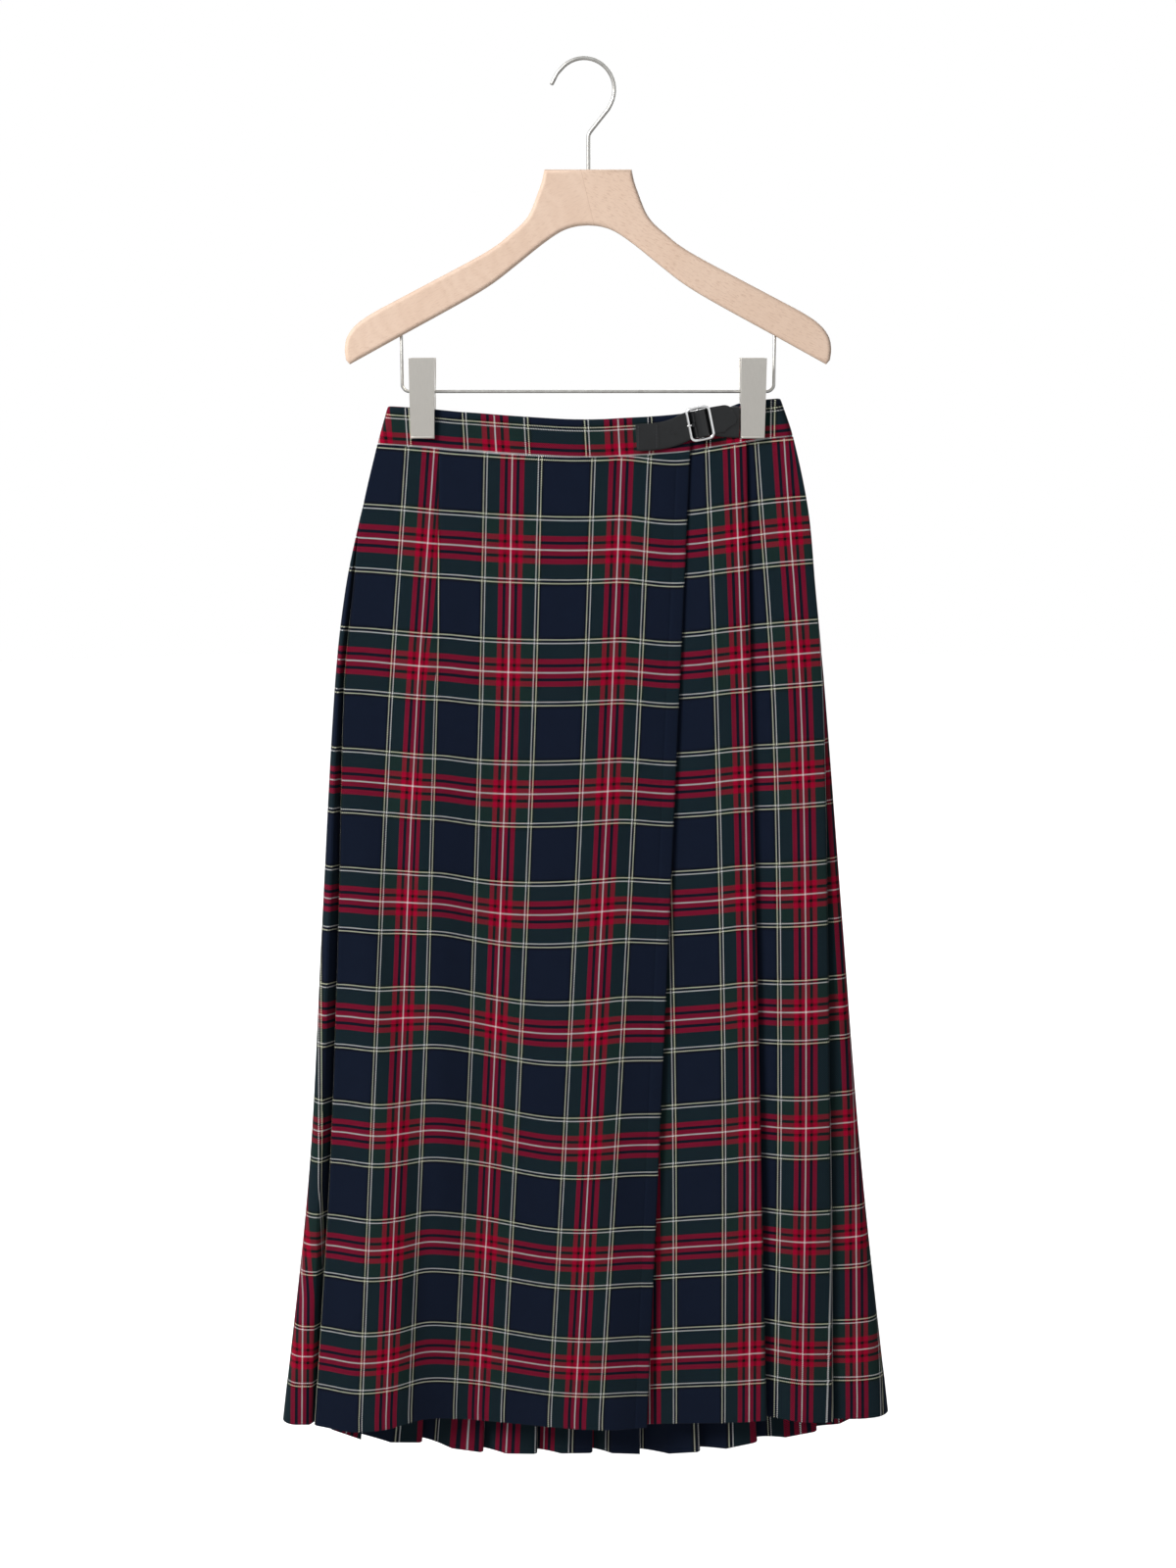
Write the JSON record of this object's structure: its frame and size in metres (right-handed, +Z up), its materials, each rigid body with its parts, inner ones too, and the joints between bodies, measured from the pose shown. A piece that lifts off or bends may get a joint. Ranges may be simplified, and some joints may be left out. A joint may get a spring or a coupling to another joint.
{
  "type": "tartan wrap skirt on clip hanger",
  "caption": "Long wrap skirt with a strap-and-buckle waistband and a knife-pleated back, hung flat by two clips from the bar of a wooden hanger.",
  "frame": {"origin": "the point inside the top of the hanger's hook where it rests on a rail", "axes": "+Z up, along the skirt's length; +X to the right of someone facing the front; +Y away from them, through the skirt's thickness"},
  "size_m": [0.5453, 0.06, 1.2263],
  "materials": {
    "cloth": "matte",
    "band_cloth": "matte",
    "leather": "satin",
    "bright_nickel": "polished",
    "beech": "satin",
    "nickel": "satin"
  },
  "bodies": {
    "root": {"waistband_over": "band_cloth", "waistband_back": "band_cloth", "waistband_under": "band_cloth", "over_apron": "cloth", "left_panel": "cloth", "back_pleats_left": "cloth", "back_pleats_right": "cloth", "right_panel": "cloth", "under_apron": "cloth", "strap": "leather", "strap_anchor": "leather", "chape": "leather", "buckle_frame": "bright_nickel", "buckle_prong": "bright_nickel", "hanger_wood": "beech", "hanger_hook": "nickel", "hanger_bar": "nickel", "clip_left_front": "nickel", "clip_left_back": "nickel", "clip_left_spring": "nickel", "clip_right_front": "nickel", "clip_right_back": "nickel", "clip_right_spring": "nickel"}
  },
  "joints": []
}
